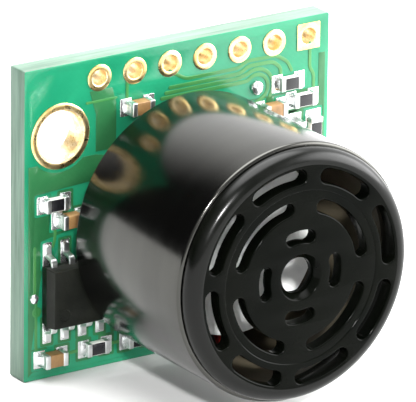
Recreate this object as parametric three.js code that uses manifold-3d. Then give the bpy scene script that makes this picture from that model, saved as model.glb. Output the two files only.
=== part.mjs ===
// Ultrasonic distance sensor: a small square circuit board with one round transducer on its front.
// Millimetres, +Z up. The transducer looks towards -Y. The board's header holes run along its top edge.

import * as THREE from "three";
import { mergeVertices } from "three/addons/utils/BufferGeometryUtils.js";
import Module from "manifold-3d";

const wasm = await Module();
wasm.setup();

// Driving dimensions. The board's front face is y = 0 and its centre is x = z = 0.
const BOARD = { width: 22.1, height: 19.9, thickness: 1.6 };
const HEADER = { count: 7, pitch: 2.54, fromTop: 1.27, fromRight: 1.53, bore: 0.5, pad: 0.84 };
const MOUNT = { bore: 1.55, pad: 2.08, fromSide: 2.54, fromTop: 4.5, fromBottom: 2.54 };
const PLATING = { pad: 0.05, wall: 0.08, gap: 0.01 };
const GAP = 0.02;

const AXIS = { x: -0.35, z: -0.83 };
const CAN = { radius: 8.15, wall: 0.4, front: 13.0, rear: 1.8, rim: 0.2, rearRim: 0.1 };
const CAP = { radius: 7.92, front: 14.0, thickness: 1.0, round: 0.85, spigot: 1.1, spigotWall: 0.43 };
const CUT_PAST = 1;
const SLOT_RINGS = [
  { count: 4, radius: 2.55, halfWidth: 0.4, halfAngle: 24, turn: 0 },
  { count: 4, radius: 4.47, halfWidth: 0.42, halfAngle: 34.5, turn: 41 },
  { count: 8, radius: 6.35, halfWidth: 0.48, halfAngle: 18, turn: 15 },
];
const CENTRE_HOLE = 1.13;
const BASE = { recess: 0.4, thickness: 1.2, seatInner: 3.0, seatOuter: 4.2, seatHeight: 0.25 };
const SUPPORT_RING = { inner: 3.25, outer: 3.95, height: 0.4, taper: 0.1 };
const TERMINAL = {
  radius: 0.4,
  spacing: 10,
  collar: 0.8,
  collarThickness: 0.25,
  inner: 3.9,
  tail: 0.6,
  chamfer: 0.1,
};
const PIEZO = { radius: 4.2, thickness: 0.35 };
const DIAPHRAGM = { radius: 5.0, thickness: 0.33 };
const CONE = { throat: 0.9, mouth: 5.75, depth: 2.25, wall: 0.25, edge: 0.1 };
const JOINT_HEIGHT = 0.46;
const JOINT_PROFILE = [[1.05, 0], [0.95, 0.08], [0.66, 0.22], [0.52, 0.4]];
const LEAD_WIRE = { red: 0.28, plain: 0.13, steps: 20 };
const RED_ROUTE = [
  [0.2, -4.25, -5.45],
  [0.4, -4.35, -6.4],
  [0.3, -4.95, -6.95],
  [0.0, -5.65, -6.6],
  [-0.2, -5.65, -5.8],
  [-0.2, -5.5, -5.3],
];
const PLAIN_ROUTE = [
  [0.15, -4.1, 5.1],
  [-0.1, -4.2, 5.5],
  [-0.5, -4.1, 5.6],
  [-0.8, -3.85, 5.2],
  [-0.7, -3.8, 4.6],
];

const SOIC = { length: 8.65, width: 3.9, height: 1.45, standOff: 0.1, leads: 7, pitch: 1.27 };
const SOT = { length: 2.9, width: 1.3, height: 0.95, standOff: 0.08, leads: 2, pitch: 1.9 };
const LEAD = {
  width: 0.42,
  thickness: 0.2,
  reach: 1.1,
  foot: 0.62,
  knee: 0.3,
  slope: 0.12,
  inside: 0.6,
};
const SHOULDER_SHARE = 0.42;
const SPINE = { overhang: 0.3, inset: 0.55 };
const DRAFT = { top: 0.12, bottom: 0.1 };
const CHIP = { length: 1.6, width: 0.82, end: 0.32, swell: 0.025, bodyInset: 0.05 };
const RESISTOR_HEIGHT = 0.48;
const CAPACITOR_HEIGHT = 0.8;
const BUMP_FLATNESS = 0.8;

const AROUND_LARGE = 96;
const AROUND_SMALL = 24;

const finish = {
  mask: { color: 0x2f8f55, roughness: 0.35, metalness: 0.0 },
  gold: { color: 0xd9b667, roughness: 0.3, metalness: 1.0 },
  can: { color: 0x3c3c3a, roughness: 0.3, metalness: 0.8 },
  cap: { color: 0x0c0d0c, roughness: 0.2, metalness: 0.0 },
  aluminium: { color: 0xc9c9c6, roughness: 0.45, metalness: 0.9 },
  brass: { color: 0xb99a55, roughness: 0.4, metalness: 1.0 },
  ceramic: { color: 0xd8d2c0, roughness: 0.6, metalness: 0.0 },
  phenolic: { color: 0x332e25, roughness: 0.7, metalness: 0.0 },
  silicone: { color: 0xe4e0d6, roughness: 0.6, metalness: 0.0 },
  tin: { color: 0xc4c6c6, roughness: 0.3, metalness: 1.0 },
  epoxy: { color: 0x2a2c28, roughness: 0.55, metalness: 0.0 },
  capacitor: { color: 0xa9763c, roughness: 0.5, metalness: 0.0 },
  resistor: { color: 0x1d1d20, roughness: 0.35, metalness: 0.0 },
  redWire: { color: 0xa82a22, roughness: 0.5, metalness: 0.0 },
  solder: { color: 0xd2d4d4, roughness: 0.25, metalness: 1.0 },
};

const sensor = new THREE.Group();
const transducer = new THREE.Group();
transducer.position.set(AXIS.x, 0, AXIS.z);
sensor.add(transducer);

// ---- closed solids ----

function toSolid(geometry) {
  const bare = geometry.clone();
  bare.deleteAttribute("normal");
  bare.deleteAttribute("uv");
  const merged = mergeVertices(bare, 1e-4);
  const triangles = [];
  const index = merged.index.array;
  for (let i = 0; i < index.length; i += 3) {
    const [a, b, c] = index.slice(i, i + 3);
    if (a !== b && b !== c && c !== a) triangles.push(a, b, c);
  }
  const vertProperties = new Float32Array(merged.attributes.position.array);
  const triVerts = new Uint32Array(triangles);
  return new wasm.Manifold(new wasm.Mesh({ numProp: 3, vertProperties, triVerts }));
}

function toGeometry(solid) {
  const mesh = solid.getMesh();
  const geometry = new THREE.BufferGeometry();
  geometry.setAttribute("position", new THREE.BufferAttribute(mesh.vertProperties, 3));
  geometry.setIndex(new THREE.BufferAttribute(mesh.triVerts, 1));
  const flat = geometry.toNonIndexed();
  flat.computeVertexNormals();
  return flat;
}

function join(solids) {
  return solids.reduce((whole, solid) => whole.add(solid));
}

function addPiece(parent, name, geometry, look) {
  const mesh = new THREE.Mesh(geometry, new THREE.MeshStandardMaterial(look));
  mesh.name = name;
  parent.add(mesh);
  return mesh;
}

// A turned solid about the Y axis, from [radius, y] points that start and end on the axis or close up.
function turned(profile, segments) {
  const points = profile.map(([radius, y]) => new THREE.Vector2(radius, y));
  if (THREE.ShapeUtils.area(points) < 0) points.reverse();
  return new THREE.LatheGeometry(points, segments);
}

function closed(profile) {
  return [...profile, profile[0]];
}

// Points of an arc in a turned profile: centre, radius and two angles in degrees.
function arc(centreRadius, centreY, radius, from, to, steps) {
  return Array.from({ length: steps + 1 }, (_, i) => {
    const angle = THREE.MathUtils.degToRad(from + ((to - from) * i) / steps);
    return [centreRadius + radius * Math.cos(angle), centreY + radius * Math.sin(angle)];
  });
}

// A flat plate: an outline in X and Z, from y = near to y = far.
function plate(outline, near, far, curveSegments = AROUND_SMALL) {
  const options = { depth: far - near, bevelEnabled: false, curveSegments };
  const geometry = new THREE.ExtrudeGeometry(outline, options);
  return geometry.rotateX(Math.PI / 2).translate(0, far, 0);
}

function rectangle(width, height) {
  const outline = new THREE.Shape();
  outline.moveTo(-width / 2, -height / 2);
  outline.lineTo(width / 2, -height / 2);
  outline.lineTo(width / 2, height / 2);
  outline.lineTo(-width / 2, height / 2);
  outline.closePath();
  return outline;
}

function roundHole(x, z, radius) {
  return new THREE.Path().absarc(x, z, radius, 0, 2 * Math.PI, true);
}

// ---- board and plated holes ----

function headerPlaces() {
  const z = BOARD.height / 2 - HEADER.fromTop;
  const first = BOARD.width / 2 - HEADER.fromRight;
  return Array.from({ length: HEADER.count }, (_, i) => ({ x: first - i * HEADER.pitch, z }));
}

function mountPlaces() {
  const side = BOARD.width / 2 - MOUNT.fromSide;
  return {
    upper_left: { x: -side, z: BOARD.height / 2 - MOUNT.fromTop },
    lower_right: { x: side, z: -BOARD.height / 2 + MOUNT.fromBottom },
  };
}

function terminalPlaces() {
  return { upper: TERMINAL.spacing / 2, lower: -TERMINAL.spacing / 2 };
}

function buildBoard() {
  const outline = rectangle(BOARD.width, BOARD.height);
  const spare = PLATING.wall + PLATING.gap * 2;
  for (const { x, z } of headerPlaces()) outline.holes.push(roundHole(x, z, HEADER.bore + spare));
  for (const { x, z } of Object.values(mountPlaces())) {
    outline.holes.push(roundHole(x, z, MOUNT.bore + spare));
  }
  for (const z of Object.values(terminalPlaces())) {
    outline.holes.push(roundHole(AXIS.x, AXIS.z + z, TERMINAL.radius + spare));
  }
  addPiece(sensor, "circuit_board", plate(outline, 0, BOARD.thickness), finish.mask);
}

function platedHole(bore, pad, segments) {
  const near = -PLATING.gap;
  const far = BOARD.thickness + PLATING.gap;
  const barrel = bore + PLATING.wall;
  return turned(
    closed([
      [bore, near - PLATING.pad],
      [pad, near - PLATING.pad],
      [pad, near],
      [barrel, near],
      [barrel, far],
      [pad, far],
      [pad, far + PLATING.pad],
      [bore, far + PLATING.pad],
    ]),
    segments,
  );
}

function squarePad(near) {
  const outline = rectangle(HEADER.pad * 2, HEADER.pad * 2);
  outline.holes.push(roundHole(0, 0, HEADER.bore + PLATING.wall / 2));
  return toSolid(plate(outline, near, near + PLATING.pad));
}

function buildHeaderHoles() {
  headerPlaces().forEach(({ x, z }, i) => {
    let geometry = platedHole(HEADER.bore, HEADER.pad, AROUND_SMALL);
    if (i === 0) {
      const front = squarePad(-PLATING.gap - PLATING.pad);
      const back = squarePad(BOARD.thickness + PLATING.gap);
      geometry = toGeometry(join([toSolid(geometry), front, back]));
    }
    addPiece(sensor, `header_hole_plating_${i + 1}`, geometry, finish.gold).position.set(x, 0, z);
  });
}

function buildMountHoles() {
  for (const [name, { x, z }] of Object.entries(mountPlaces())) {
    const geometry = platedHole(MOUNT.bore, MOUNT.pad, AROUND_SMALL * 2);
    addPiece(sensor, `mounting_hole_plating_${name}`, geometry, finish.gold).position.set(x, 0, z);
  }
}

// ---- transducer: pieces along its own axis, with the board's front face at y = 0 ----

function buildCan() {
  const inner = CAN.radius - CAN.wall;
  const { rim, rearRim } = CAN;
  const profile = closed([
    [inner, -CAN.front],
    ...arc(CAN.radius - rim, -CAN.front + rim, rim, -90, 0, 4),
    ...arc(CAN.radius - rearRim, -CAN.rear - rearRim, rearRim, 0, 90, 3),
    [inner, -CAN.rear],
  ]);
  addPiece(transducer, "transducer_can", turned(profile, AROUND_LARGE), finish.can);
}

function arcSlot({ radius, halfWidth, halfAngle }, turn) {
  const tip = halfWidth / radius;
  const from = THREE.MathUtils.degToRad(turn - halfAngle) + tip;
  const to = THREE.MathUtils.degToRad(turn + halfAngle) - tip;
  const endAt = (angle) => [radius * Math.cos(angle), radius * Math.sin(angle)];
  const outline = new THREE.Shape();
  outline.absarc(0, 0, radius + halfWidth, from, to, false);
  outline.absarc(...endAt(to), halfWidth, to, to + Math.PI, false);
  outline.absarc(0, 0, radius - halfWidth, to, from, true);
  outline.absarc(...endAt(from), halfWidth, from + Math.PI, from + 2 * Math.PI, false);
  const back = -CAP.front + CAP.thickness;
  return toSolid(plate(outline, -CAP.front - CUT_PAST, back + CUT_PAST, 7));
}

function buildGrille() {
  const back = -CAP.front + CAP.thickness;
  const spigot = CAN.radius - CAN.wall - GAP * 3;
  const face = turned(
    [
      [0, back],
      [spigot - CAP.spigotWall, back],
      [spigot - CAP.spigotWall, back + CAP.spigot],
      [spigot, back + CAP.spigot],
      [spigot, back - GAP],
      [CAP.radius, back - GAP],
      ...arc(CAP.radius - CAP.round, -CAP.front + CAP.round, CAP.round, 0, -90, 7),
      [0, -CAP.front],
    ],
    AROUND_LARGE,
  );
  let grille = toSolid(face);
  const hole = new THREE.Shape().absarc(0, 0, CENTRE_HOLE, 0, 2 * Math.PI);
  grille = grille.subtract(toSolid(plate(hole, -CAP.front - CUT_PAST, back + CUT_PAST)));
  for (const ring of SLOT_RINGS) {
    for (let i = 0; i < ring.count; i += 1) {
      grille = grille.subtract(arcSlot(ring, ring.turn + (360 * i) / ring.count));
    }
  }
  addPiece(transducer, "front_grille", toGeometry(grille), finish.cap);
}

function buildBase() {
  const radius = CAN.radius - CAN.wall - GAP;
  const rear = -CAN.rear - BASE.recess - GAP * 2;
  const front = rear - BASE.thickness;
  const disc = turned(
    [
      [0, rear],
      [radius, rear],
      [radius, front],
      [BASE.seatOuter, front],
      [BASE.seatOuter, front - BASE.seatHeight],
      [BASE.seatInner, front - BASE.seatHeight],
      [BASE.seatInner, front],
      [0, front],
    ],
    AROUND_LARGE,
  );
  let base = toSolid(disc);
  for (const z of Object.values(terminalPlaces())) {
    const bore = new THREE.Shape().absarc(0, z, TERMINAL.radius + GAP, 0, 2 * Math.PI);
    base = base.subtract(toSolid(plate(bore, front - CUT_PAST, rear + CUT_PAST)));
  }
  addPiece(transducer, "transducer_base", toGeometry(base), finish.phenolic);
  return front - BASE.seatHeight;
}

function disc(radius, near, far) {
  return turned([[0, near], [radius, near], [radius, far], [0, far]], AROUND_LARGE / 2);
}

// Ring, piezo disc and diaphragm plate, stacked forwards from the base's seat.
function buildStack(seat) {
  const ringRear = seat - GAP;
  const ringTop = ringRear - SUPPORT_RING.height;
  const ring = closed([
    [SUPPORT_RING.inner, ringRear],
    [SUPPORT_RING.outer, ringRear],
    [SUPPORT_RING.outer - SUPPORT_RING.taper, ringTop],
    [SUPPORT_RING.inner + SUPPORT_RING.taper, ringTop],
  ]);
  addPiece(transducer, "nodal_support_ring", turned(ring, AROUND_LARGE / 2), finish.silicone);
  const piezoRear = ringTop - GAP;
  const piezoFront = piezoRear - PIEZO.thickness;
  addPiece(transducer, "piezo_disc", disc(PIEZO.radius, piezoFront, piezoRear), finish.ceramic);
  const plateRear = piezoFront - GAP;
  const plateFront = plateRear - DIAPHRAGM.thickness;
  addPiece(transducer, "diaphragm_plate", disc(DIAPHRAGM.radius, plateFront, plateRear), finish.brass);
  return plateFront;
}

function buildCone(plateFront) {
  const rear = plateFront - GAP;
  const mouth = rear - CONE.depth;
  const cone = [
    [0, rear],
    [CONE.throat, rear],
    [CONE.mouth - CONE.edge, mouth + CONE.edge],
    [CONE.mouth, mouth - CONE.edge],
    [CONE.mouth - CONE.edge * 1.5, mouth - CONE.edge * 1.2],
    [CONE.throat - CONE.edge, rear - CONE.wall],
    [0, rear - CONE.wall],
  ];
  addPiece(transducer, "resonator_cone", turned(cone, AROUND_LARGE), finish.aluminium);
}

function buildTerminals() {
  const { radius, collar, collarThickness, inner, chamfer } = TERMINAL;
  const end = BOARD.thickness + TERMINAL.tail;
  const base = -CAN.rear - BASE.recess;
  const pin = turned(
    [
      [0, -inner],
      [radius - chamfer, -inner],
      [radius, -inner + chamfer],
      [radius, base],
      [collar, base],
      [collar, base + collarThickness],
      [radius, base + collarThickness],
      [radius, end - chamfer],
      [radius - chamfer, end],
      [0, end],
    ],
    AROUND_SMALL,
  );
  const hug = radius + GAP;
  const foot = BOARD.thickness + GAP;
  const slope = JOINT_PROFILE.map(([r, height]) => [r, foot + height]);
  const fillet = closed([[hug, foot], ...slope, [hug, foot + JOINT_HEIGHT]]);
  for (const [name, z] of Object.entries(terminalPlaces())) {
    addPiece(transducer, `terminal_pin_${name}`, pin.clone(), finish.tin).position.set(0, 0, z);
    const joint = turned(fillet, AROUND_SMALL);
    addPiece(transducer, `terminal_solder_joint_${name}`, joint, finish.solder).position.set(0, 0, z);
  }
}

// A round wire through a few hand-picked points.
function wire(points, radius) {
  const route = new THREE.CatmullRomCurve3(points.map((point) => new THREE.Vector3(...point)));
  const section = new THREE.Shape().absarc(0, 0, radius, 0, 2 * Math.PI);
  const options = { steps: LEAD_WIRE.steps, extrudePath: route, curveSegments: 5 };
  return new THREE.ExtrudeGeometry(section, options);
}

function buildLeadWires() {
  addPiece(transducer, "lead_wire_red", wire(RED_ROUTE, LEAD_WIRE.red), finish.redWire);
  addPiece(transducer, "lead_wire_plain", wire(PLAIN_ROUTE, LEAD_WIRE.plain), finish.tin);
}

// ---- leaded chips: a moulded package and one lead frame, on a surface at y = 0 that faces -Y ----

function taperedBlock(length, width, near, far, nearInset) {
  const geometry = new THREE.BoxGeometry(length, far - near, width);
  const position = geometry.attributes.position;
  for (let i = 0; i < position.count; i += 1) {
    if (position.getY(i) < 0) {
      position.setX(i, position.getX(i) - Math.sign(position.getX(i)) * nearInset);
      position.setZ(i, position.getZ(i) - Math.sign(position.getZ(i)) * nearInset);
    }
  }
  return geometry.translate(0, (near + far) / 2, 0);
}

function block(length, width, near, far) {
  return toSolid(taperedBlock(length, width, near, far, 0));
}

// A gull-wing lead's side outline: u runs out from the package's middle, v is the height off the board.
function gullWing(bodyHalf, shoulder, grow) {
  const start = bodyHalf - LEAD.inside;
  const knee = bodyHalf + LEAD.knee;
  const out = bodyHalf + LEAD.reach;
  const heel = out - LEAD.foot;
  const thickness = LEAD.thickness + grow;
  const outline = new THREE.Shape();
  outline.moveTo(start, shoulder - grow);
  outline.lineTo(knee, shoulder - grow);
  outline.lineTo(heel, GAP);
  outline.lineTo(out, GAP);
  outline.lineTo(out, GAP + thickness);
  outline.lineTo(heel + LEAD.slope, GAP + thickness);
  outline.lineTo(knee + LEAD.slope, shoulder + thickness);
  outline.lineTo(start, shoulder + thickness);
  outline.closePath();
  return outline;
}

function leadFrame(size, rows, grow) {
  const shoulder = size.standOff + size.height * SHOULDER_SHARE;
  const width = LEAD.width + grow * 2;
  const turn = new THREE.Matrix4().makeBasis(
    new THREE.Vector3(0, 0, 1),
    new THREE.Vector3(0, -1, 0),
    new THREE.Vector3(1, 0, 0),
  );
  const options = { depth: width, bevelEnabled: false };
  const span = (size.leads - 1) * size.pitch;
  const spine = block(
    span + (SPINE.overhang + grow) * 2,
    size.width - (SPINE.inset - grow) * 2,
    -shoulder - LEAD.thickness - grow,
    -shoulder + grow,
  );
  const leads = [];
  for (const { side, places } of rows) {
    for (const x of places) {
      const geometry = new THREE.ExtrudeGeometry(gullWing(size.width / 2, shoulder, grow), options);
      geometry.applyMatrix4(turn).translate(-width / 2, 0, 0);
      if (side < 0) geometry.rotateY(Math.PI);
      leads.push(toSolid(geometry.translate(x, 0, 0)));
    }
  }
  return join([spine, ...leads]);
}

function evenPlaces(count, pitch) {
  return Array.from({ length: count }, (_, i) => (i - (count - 1) / 2) * pitch);
}

function mouldedPackage(size, rows) {
  const middle = -size.standOff - size.height * 0.5;
  const top = -size.standOff - size.height;
  const upper = taperedBlock(size.length, size.width, top, middle, DRAFT.top);
  const lower = taperedBlock(size.length, size.width, size.standOff, -middle, DRAFT.bottom);
  const whole = join([toSolid(upper), toSolid(lower.rotateX(Math.PI))]);
  return whole.subtract(leadFrame(size, rows, PLATING.gap));
}

function addChipPackage(name, size, rows, place) {
  const holder = new THREE.Group();
  place(holder);
  sensor.add(holder);
  addPiece(holder, `${name}_package`, toGeometry(mouldedPackage(size, rows)), finish.epoxy);
  addPiece(holder, `${name}_lead_frame`, toGeometry(leadFrame(size, rows, 0)), finish.tin);
}

function onFront(x, z, turn = 0) {
  return (item) => {
    item.position.set(x, 0, z);
    item.rotation.y = turn;
  };
}

// On the back, z = 0 faces the other way round: half a turn about the vertical axis.
function onBack(x, z, turn = 0) {
  return (item) => {
    item.position.set(x, BOARD.thickness, z);
    item.rotation.set(0, turn, Math.PI);
  };
}

function buildPackages() {
  const both = evenPlaces(SOIC.leads, SOIC.pitch);
  const soicRows = [{ side: 1, places: both }, { side: -1, places: both }];
  addChipPackage("microcontroller", SOIC, soicRows, onFront(-5.61, -4.45));
  addChipPackage("amplifier", SOIC, soicRows, onBack(5.4, -0.4, Math.PI / 2));
  const sotRows = [{ side: 1, places: [0] }, { side: -1, places: evenPlaces(SOT.leads, SOT.pitch) }];
  addChipPackage("diode_pair", SOT, sotRows, onBack(-3.9, 4.5));
}

// ---- two-ended chips and solder bumps ----

function chip(height) {
  const base = -GAP;
  const body = block(CHIP.length - CHIP.bodyInset * 2, CHIP.width, base - height, base);
  const ends = [-1, 1].map((side) => {
    const end = block(CHIP.end, CHIP.width + CHIP.swell * 2, base - height - CHIP.swell, base);
    return end.translate([side * (CHIP.length - CHIP.end) / 2, 0, 0]);
  });
  return toGeometry(join([body, ...ends]));
}

function buildChips() {
  const upright = Math.PI / 2;
  const chips = [
    ["capacitor_lower_left", CAPACITOR_HEIGHT, onFront(-9.15, -8.65)],
    ["resistor_lower_left", RESISTOR_HEIGHT, onFront(-5.95, -8.6)],
    ["resistor_lower_middle", RESISTOR_HEIGHT, onFront(-2.95, -8.65)],
    ["resistor_left", RESISTOR_HEIGHT, onFront(-8.95, 1.25)],
    ["capacitor_left", CAPACITOR_HEIGHT, onFront(-7.9, 0.1)],
    ["capacitor_top", CAPACITOR_HEIGHT, onFront(-3.0, 6.45)],
    ["resistor_right_upper", RESISTOR_HEIGHT, onFront(8.05, 5.98)],
    ["resistor_right_lower", RESISTOR_HEIGHT, onFront(9.1, 4.72)],
    ["capacitor_right", CAPACITOR_HEIGHT, onFront(6.75, 4.5)],
    ["resistor_right_edge", RESISTOR_HEIGHT, onFront(9.95, 2.65, upright)],
    ["capacitor_right_edge", CAPACITOR_HEIGHT, onFront(8.5, 2.65, upright)],
    ["capacitor_back_upper", CAPACITOR_HEIGHT, onBack(-8.9, 1.6, upright)],
    ["capacitor_back_left", CAPACITOR_HEIGHT, onBack(-6.4, -0.4)],
    ["resistor_back_left", RESISTOR_HEIGHT, onBack(-6.4, -2.2)],
    ["resistor_back_middle", RESISTOR_HEIGHT, onBack(-6.4, -4.0)],
    ["resistor_back_lower", RESISTOR_HEIGHT, onBack(-3.6, -7.9)],
    ["capacitor_back_lower", CAPACITOR_HEIGHT, onBack(-6.8, -7.9)],
  ];
  for (const [name, height, place] of chips) {
    const look = name.startsWith("capacitor") ? finish.capacitor : finish.resistor;
    place(addPiece(sensor, name, chip(height), look));
  }
}

function buildSolderBumps() {
  const bumps = [
    ["solder_bump_upper_right", 5.72, 6.0, 0.44],
    ["solder_bump_left", -10.35, -4.65, 0.3],
  ];
  for (const [name, x, z, radius] of bumps) {
    const quarter = arc(0, 0, radius, 0, -90, 5);
    const dome = quarter.map(([r, y]) => [r, y * BUMP_FLATNESS - GAP]);
    const geometry = turned([[0, -GAP], ...dome], AROUND_SMALL);
    addPiece(sensor, name, geometry, finish.solder).position.set(x, 0, z);
  }
}

buildBoard();
buildHeaderHoles();
buildMountHoles();
buildCan();
buildGrille();
buildCone(buildStack(buildBase()));
buildTerminals();
buildLeadWires();
buildPackages();
buildChips();
buildSolderBumps();

// The part stands on the board's lower edge, with its box's bottom centre at the origin.
const deepestBack = BOARD.thickness + SOIC.standOff + SOIC.height;
sensor.position.set(0, (CAP.front - deepestBack) / 2, BOARD.height / 2);
sensor.updateMatrixWorld(true);

export default sensor;
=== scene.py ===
import math

import bmesh
import bpy
from mathutils import Matrix, Vector


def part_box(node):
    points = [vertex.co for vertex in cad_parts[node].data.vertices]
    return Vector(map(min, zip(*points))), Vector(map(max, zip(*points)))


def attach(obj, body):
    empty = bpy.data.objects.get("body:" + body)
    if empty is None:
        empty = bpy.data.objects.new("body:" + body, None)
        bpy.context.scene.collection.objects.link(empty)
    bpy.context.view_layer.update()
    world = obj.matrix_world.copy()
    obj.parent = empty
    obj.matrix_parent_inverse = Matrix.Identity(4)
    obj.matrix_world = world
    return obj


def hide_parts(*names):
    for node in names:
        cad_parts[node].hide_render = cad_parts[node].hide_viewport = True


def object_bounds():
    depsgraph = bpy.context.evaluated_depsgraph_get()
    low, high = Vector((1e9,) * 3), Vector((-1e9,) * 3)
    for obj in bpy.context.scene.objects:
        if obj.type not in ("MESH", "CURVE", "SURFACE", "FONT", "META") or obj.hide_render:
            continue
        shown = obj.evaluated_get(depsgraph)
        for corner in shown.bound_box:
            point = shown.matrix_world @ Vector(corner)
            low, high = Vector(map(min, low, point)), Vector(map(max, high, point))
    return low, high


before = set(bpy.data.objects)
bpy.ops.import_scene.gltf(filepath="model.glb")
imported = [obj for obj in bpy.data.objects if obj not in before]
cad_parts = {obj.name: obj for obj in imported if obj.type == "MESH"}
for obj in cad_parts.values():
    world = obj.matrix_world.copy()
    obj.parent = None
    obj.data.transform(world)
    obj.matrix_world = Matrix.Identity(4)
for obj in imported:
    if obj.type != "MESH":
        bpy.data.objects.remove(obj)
cad_low, cad_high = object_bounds()

MM = 0.001


# ---- the frame in millimetres ----

def box_mm(node):
    """Lowest and highest corner of a node."""
    low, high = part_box(node)
    return low / MM, high / MM


def middle(node):
    low, high = box_mm(node)
    return (low + high) / 2


BOARD_LOW, BOARD_HIGH = box_mm("circuit_board")
BOARD_MID = (BOARD_LOW + BOARD_HIGH) / 2
FRONT = BOARD_LOW.y
BACK = BOARD_HIGH.y
HALF_W = (BOARD_HIGH.x - BOARD_LOW.x) / 2
HALF_H = (BOARD_HIGH.z - BOARD_LOW.z) / 2
CAN_LOW, CAN_HIGH = box_mm("transducer_can")
AXIS = (CAN_LOW + CAN_HIGH) / 2
CAN_R = (CAN_HIGH.x - CAN_LOW.x) / 2


# ---- mesh building, all in millimetres ----

class Shape:
    """Points and faces of one piece, with a material number for each face."""

    def __init__(self):
        self.verts = []
        self.faces = []
        self.marks = []

    def add(self, part, mark=0):
        verts, faces = part
        start = len(self.verts)
        self.verts += [Vector(v) for v in verts]
        self.faces += [[start + i for i in face] for face in faces]
        self.marks += [mark] * len(faces)
        return self


def make(name, shape, materials, replaces=(), sharp=35):
    """Turns a shape into a piece that rides on the body, and stands for the CAD nodes it replaces."""
    mesh = bpy.data.meshes.new(name)
    mesh.from_pydata([v * MM for v in shape.verts], [], shape.faces)
    for mat in materials:
        mesh.materials.append(mat)
    mesh.polygons.foreach_set("material_index", shape.marks)
    mesh.polygons.foreach_set("use_smooth", [True] * len(mesh.polygons))
    mesh.validate()
    mesh.set_sharp_from_angle(angle=math.radians(sharp))
    obj = bpy.data.objects.new(name, mesh)
    bpy.context.scene.collection.objects.link(obj)
    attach(obj, "root")
    if replaces:
        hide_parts(*replaces)
    return obj


def moved(part, matrix):
    return [matrix @ Vector(v) for v in part[0]], part[1]


def shifted(part, x, y):
    return moved(part, Matrix.Translation((x, y, 0)))


def face_matrix(side):
    """From (right, up, out of the board) to the row frame, on the board's front or back."""
    if side == "front":
        turn = Matrix(((1, 0, 0), (0, 0, -1), (0, 1, 0)))
        origin = Vector((BOARD_MID.x, FRONT, BOARD_MID.z))
    else:
        turn = Matrix(((-1, 0, 0), (0, 0, 1), (0, 1, 0)))
        origin = Vector((BOARD_MID.x, BACK, BOARD_MID.z))
    return Matrix.Translation(origin) @ turn.to_4x4()


def on_board(part, side="front", right=0.0, up=0.0, out=0.0, turn=0.0):
    """Places a part that is drawn flat, its local Z pointing out of the board."""
    local = Matrix.Translation((right, up, out)) @ Matrix.Rotation(turn, 4, "Z")
    return moved(part, face_matrix(side) @ local)


def lathe(profile, segments=96, closed=False):
    """A turned part about the local Z axis, from (radius, height) points."""
    verts, faces, rings = [], [], []
    for radius, height in profile:
        if radius < 1e-6:
            rings.append([len(verts)])
            verts.append((0.0, 0.0, height))
            continue
        rings.append(list(range(len(verts), len(verts) + segments)))
        for k in range(segments):
            a = 2 * math.pi * k / segments
            verts.append((radius * math.cos(a), radius * math.sin(a), height))
    pairs = list(zip(rings, rings[1:]))
    if closed:
        pairs.append((rings[-1], rings[0]))
    for low, high in pairs:
        for k in range(segments):
            n = (k + 1) % segments
            if len(low) == 1:
                faces.append([low[0], high[n], high[k]])
            elif len(high) == 1:
                faces.append([low[k], low[n], high[0]])
            else:
                faces.append([low[k], low[n], high[n], high[k]])
    return verts, faces


def arc(centre, radius, start, end, steps):
    """Points along an arc, its angles in degrees."""
    points = []
    for i in range(steps + 1):
        a = math.radians(start + (end - start) * i / steps)
        points.append((centre[0] + radius * math.cos(a), centre[1] + radius * math.sin(a)))
    return points


def ring(x, y, radius, count=48):
    return [
        (x + radius * math.cos(2 * math.pi * k / count), y + radius * math.sin(2 * math.pi * k / count))
        for k in range(count)
    ]


def round_rect(w, h, r, steps=4, x=0.0, y=0.0):
    points = []
    for cx, cy, start in ((1, 1, 0), (-1, 1, 90), (-1, -1, 180), (1, -1, 270)):
        centre = (x + cx * (w / 2 - r), y + cy * (h / 2 - r))
        points += arc(centre, r, start, start + 90, steps)
    return points


def strip(points, width, steps=5):
    """The outline of a trace of even width along a bent line, with round ends."""
    line = [Vector(p).to_2d() for p in points]
    left, right = [], []
    for i, p in enumerate(line):
        before = (p - line[i - 1]).normalized() if i > 0 else None
        after = (line[i + 1] - p).normalized() if i < len(line) - 1 else None
        d = before if after is None else after if before is None else (before + after).normalized()
        n = Vector((-d.y, d.x))
        grow = 1.0
        if before is not None and after is not None:
            grow = 1 / max(0.5, n.dot(Vector((-after.y, after.x))))
        left.append(p + n * width / 2 * grow)
        right.append(p - n * width / 2 * grow)

    def cap(p, d):
        a0 = math.degrees(math.atan2(d.y, d.x))
        return [Vector(q) for q in arc(p, width / 2, a0 + 90, a0 - 90, steps)][1:-1]

    first = cap(line[0], line[0] - line[1])
    last = cap(line[-1], line[-1] - line[-2])
    return [tuple(p) for p in left + last + right[::-1] + first]


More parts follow.
